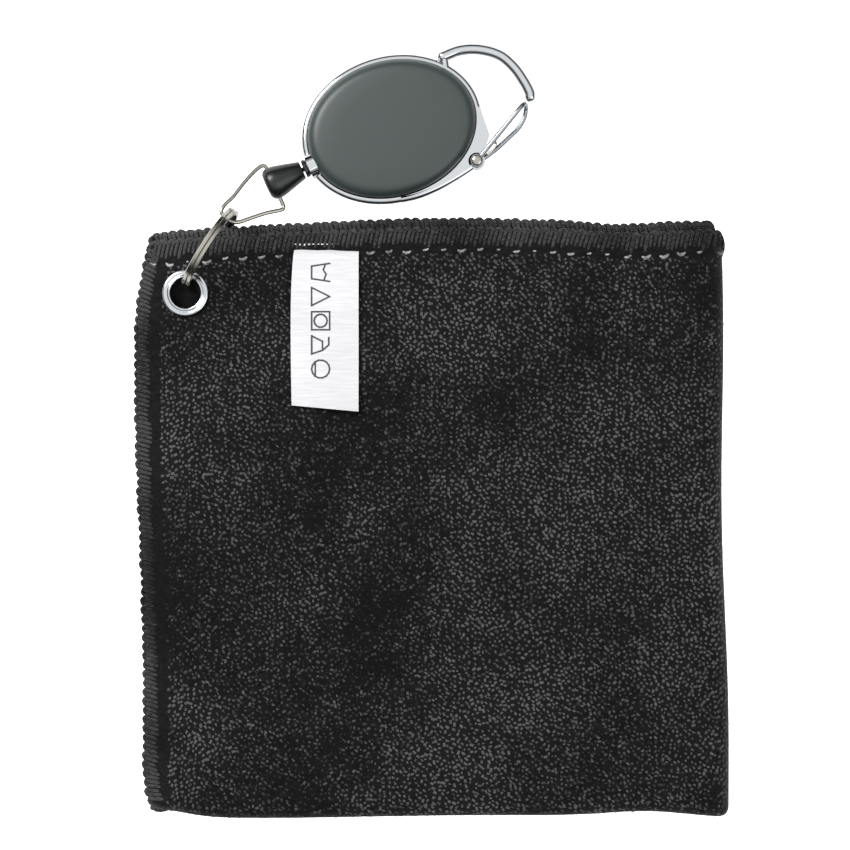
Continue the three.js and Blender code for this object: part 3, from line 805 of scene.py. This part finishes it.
def along_tree(name):
    """Stands a grain at each point of a line, by the line's own directions, kept as attributes."""
    tree = bpy.data.node_groups.new(name, "GeometryNodeTree")
    face = tree.interface
    face.new_socket("Geometry", in_out="INPUT", socket_type="NodeSocketGeometry")
    for label, kind in (("Grain", "Object"), ("Seed", "Int"), ("Finish", "Material")):
        face.new_socket(label, in_out="INPUT", socket_type="NodeSocket" + kind)
    face.new_socket("Geometry", in_out="OUTPUT", socket_type="NodeSocketGeometry")
    source, result = tree.nodes.new("NodeGroupInput"), tree.nodes.new("NodeGroupOutput")
    s = source.outputs
    dots = add_node(tree, "GeometryNodeMeshToPoints", [(s["Geometry"], "Mesh")])
    ahead = add_node(tree, "GeometryNodeInputNamedAttribute", data_type="FLOAT_VECTOR", Name="ahead")
    upward = add_node(tree, "GeometryNodeInputNamedAttribute", data_type="FLOAT_VECTOR", Name="upward")
    axes = add_node(tree, "FunctionNodeAxesToRotation", [(upward.outputs[0], 0), (ahead.outputs[0], 1)],
                    primary_axis="Z", secondary_axis="X")
    grain = add_node(tree, "GeometryNodeObjectInfo", [(s["Grain"], "Object")])
    size = add_node(tree, "FunctionNodeRandomValue", [(s["Seed"], "Seed")], data_type="FLOAT")
    size.inputs[2].default_value, size.inputs[3].default_value = 0.88, 1.1
    placed = add_node(tree, "GeometryNodeInstanceOnPoints",
                      [(dots.outputs[0], "Points"), (grain.outputs["Geometry"], "Instance"),
                       (axes.outputs[0], "Rotation"), (size.outputs[1], "Scale")])
    real = add_node(tree, "GeometryNodeRealizeInstances", [(placed.outputs[0], "Geometry")])
    finish = add_node(tree, "GeometryNodeSetMaterial",
                      [(real.outputs[0], "Geometry"), (s["Finish"], "Material")])
    tree.links.new(finish.outputs[0], result.inputs[0])
    return tree


def edge_line(name, pitch, start=0.0):
    """Points at an even pitch along the square's four edges. Y points out of the cloth there."""
    places, aheads, ups = [], [], []
    step = 0.4
    for span, at_edge in (
        (SPAN_X, lambda t: ((t, 0.0), (1, 0))), (SPAN_Y, lambda t: ((SPAN_X, t), (0, 1))),
        (SPAN_X, lambda t: ((SPAN_X - t, SPAN_Y), (-1, 0))), (SPAN_Y, lambda t: ((0.0, SPAN_Y - t), (0, -1))),
    ):
        for t in np.arange(start + 0.6, span - 0.6, pitch):
            (p, q), (dp, dq) = at_edge(t)
            here = cloth_point(p, q, 0.0)
            ahead = cloth_point(p + dp * step, q + dq * step, 0.0) - here
            up = cloth_point(p, q, 0.5) - here
            places.append(here)
            aheads.append(ahead / np.linalg.norm(ahead))
            ups.append(up / np.linalg.norm(up))
    mesh = bpy.data.meshes.new(name)
    mesh.from_pydata((np.array(places) * MM).tolist(), [], [])
    for label, values in (("ahead", aheads), ("upward", ups)):
        attribute = mesh.attributes.new(label, "FLOAT_VECTOR", "POINT")
        attribute.data.foreach_set("vector", np.array(values).ravel())
    return mesh


# With Z up and X ahead, -Y is out of the cloth along these edges, or +Y on a mirrored one.
check_here = cloth_point(60.0, 0.0, 0.0)
check_ahead = cloth_point(61.0, 0.0, 0.0) - check_here
check_up = cloth_point(60.0, 0.0, 1.0) - check_here
check_out = check_here - cloth_point(60.0, 1.0, 0.0)
SIDE = 1.0 if np.cross(check_up, check_ahead).dot(check_out) > 0 else -1.0
print("out of the cloth is", "+Y" if SIDE > 0 else "-Y", "of a stitch")

strand_points = [
    (-0.5, -HEM_WIDTH, 1.05), (-0.25, -3.5, 1.42), (0.1, -2.0, 1.55), (0.55, -0.5, 1.3), (0.85, 0.55, 0.55),
    (0.9, 0.6, -0.5), (0.6, -0.5, -1.25), (0.1, -2.2, -1.35), (-0.4, -HEM_WIDTH, -1.05),
]
strand_points = [(x, y * SIDE, z) for x, y, z in strand_points]
strand = make_object("strand", *sweep(smooth_path(strand_points, 11), 0.47, 6), thread)
rope_points = [(-1.2, 0.15, -0.5), (-0.3, 0.85, 0.1), (0.6, 0.95, 0.5), (1.3, 0.3, 0.9)]
rope_path = smooth_path([(x, y * SIDE, z) for x, y, z in rope_points], 6)
rope = make_object("rope", *sweep(rope_path, [0.35, 0.6, 0.72, 0.7, 0.55, 0.3], 7), thread)
needle_points = [(-1.3, -4.4, 1.5), (-0.6, -5.1, 1.95), (0.5, -4.95, 2.0), (1.2, -4.3, 1.55)]
needle_path = smooth_path([(x, y * SIDE, z) for x, y, z in needle_points], 6)
needle = make_object("needle", *sweep(needle_path, [0.25, 0.4, 0.46, 0.46, 0.4, 0.25], 6), needle_thread_painted_highlight)
stitches = along_tree("stitches along an edge")
hem = [
    grown("hem_strands", edge_line("strand line", STITCH / 4), stitches,
          {"Grain": strand, "Seed": 21, "Finish": thread}, thread),
    grown("hem_rope", edge_line("rope line", STITCH / 2), stitches,
          {"Grain": rope, "Seed": 22, "Finish": thread}, thread),
    grown("hem_needle_row", edge_line("needle line", STITCH), stitches,
          {"Grain": needle, "Seed": 23, "Finish": needle_thread_painted_highlight}, needle_thread_painted_highlight),
]
for grain in (strand, rope, needle):
    bpy.data.objects.remove(grain)
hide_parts("overlock_hem")

# %% [markdown]
# ## The care label
# A strip of white satin ribbon is caught under the hem's thread and hangs free over the pile. Its print is a
# generic column of laundry signs.

# %% Label and its print
LABEL_X, LABEL_TOP, LABEL_END, LABEL_SLANT = (-37.9, -20.5), 48.3, 5.9, 1.6
LABEL_Z, TUCK_FROM, TUCK_RUN, TUCK_DROP = 12.75, 45.1, 1.7, 2.0


def label_height(y):
    """The ribbon dips under the hem at its top, and lifts a little at its free end."""
    tucked = np.clip((y - TUCK_FROM) / TUCK_RUN, 0, 1)
    lifted = np.clip((14 - y) / 8, 0, 1)
    return LABEL_Z - TUCK_DROP * tucked + 0.25 * np.sin(y * 0.22) + 0.35 * lifted**2


rows, columns = 60, 14
label_verts = []
for side in (0.0, -0.22):
    for i in range(rows + 1):
        for j in range(columns + 1):
            share = j / columns
            end = LABEL_END - LABEL_SLANT * share
            y = LABEL_TOP + (end - LABEL_TOP) * i / rows
            x = LABEL_X[0] + (LABEL_X[1] - LABEL_X[0]) * share
            x += 0.7 * (1 - i / rows) ** 6 * (1 - share) - 0.35 * math.sin(i / rows * 3.0) * (1 - share)
            label_verts.append((x, y, float(label_height(y)) + side + 0.2 * math.sin(share * 3.1)))
W = columns + 1
B = (rows + 1) * W
label_faces = []
for i in range(rows):
    for j in range(columns):
        a = i * W + j
        label_faces += [(a, a + 1, a + W + 1, a + W), (B + a, B + a + W, B + a + W + 1, B + a + 1)]
rim_line = [*range(W), *[i * W + columns for i in range(1, rows + 1)],
            *[rows * W + j for j in range(columns - 1, -1, -1)], *[i * W for i in range(rows - 1, 0, -1)]]
for a, b in zip(rim_line, rim_line[1:] + rim_line[:1]):
    label_faces.append((a, b, B + b, B + a))
label = make_object("ribbon_label", label_verts, label_faces, satin, sharp=60)


def stroke(points, width=0.42, closed=False):
    """A printed line on the ribbon. Its points are across and down the label's print."""
    line = [*points, points[0]] if closed else points
    parts = []
    for (x0, y0), (x1, y1) in zip(line, line[1:]):
        length = math.hypot(x1 - x0, y1 - y0)
        ux, uy = (x1 - x0) / length * width / 2, (y1 - y0) / length * width / 2
        corners = [(x0 - ux - uy, y0 - uy + ux), (x0 - ux + uy, y0 - uy - ux),
                   (x1 + ux + uy, y1 + uy - ux), (x1 + ux - uy, y1 + uy + ux)]
        base = [(x, y, float(label_height(y)) + 0.22) for x, y in corners]
        verts = [(x, y, z) for x, y, z in base] + [(x, y, z + 0.05) for x, y, z in base]
        sides = [(a, a + 4, (a + 1) % 4 + 4, (a + 1) % 4) for a in range(4)]
        parts.append((verts, [(0, 1, 2, 3), (7, 6, 5, 4), *sides]))
    return parts


def circle(x, y, r, count=14):
    turns = [2 * math.pi * k / count for k in range(count)]
    return [(x + r * math.cos(turn), y + r * math.sin(turn)) for turn in turns]


PRINT_X, SIGN = -30.4, 2.35
signs = []
for k, kind in enumerate(("tub", "triangle", "dryer", "iron", "circle")):
    y = 40.6 - 6.3 * k
    x, r = PRINT_X, SIGN
    if kind == "tub":
        signs += stroke([(x + r, y + r), (x - r, y + 0.7 * r), (x - r, y - 0.7 * r), (x + r, y - r)])
        signs += stroke([(x + 0.5 * r, y + 0.8 * r), (x + 0.3 * r, y + 0.3 * r),
                         (x + 0.6 * r, y - 0.2 * r), (x + 0.4 * r, y - 0.8 * r)])
    elif kind == "triangle":
        signs += stroke([(x + r, y), (x - r, y + r), (x - r, y - r)], closed=True)
    elif kind == "dryer":
        signs += stroke([(x - r, y - r), (x - r, y + r), (x + r, y + r), (x + r, y - r)], closed=True)
        signs += stroke(circle(x, y, 0.72 * r), closed=True)
    elif kind == "iron":
        signs += stroke([(x - r, y + r), (x - r, y - r), (x + 0.2 * r, y - 0.6 * r),
                         (x + 0.9 * r, y), (x + 0.9 * r, y + 0.8 * r)])
        signs += stroke([(x - r, y + r), (x + 0.2 * r, y + r * 0.4), (x + 0.2 * r, y - 0.4 * r)])
    else:
        signs += stroke(circle(x, y, r), closed=True)
        signs += stroke([(x - 0.6 * r, y + 0.8 * r), (x - 0.6 * r, y - 0.8 * r)])
marks = make_object("care_marks", *joined(*signs), print_ink, smooth=False)
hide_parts("care_label")
for piece in (label, marks):
    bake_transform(piece)
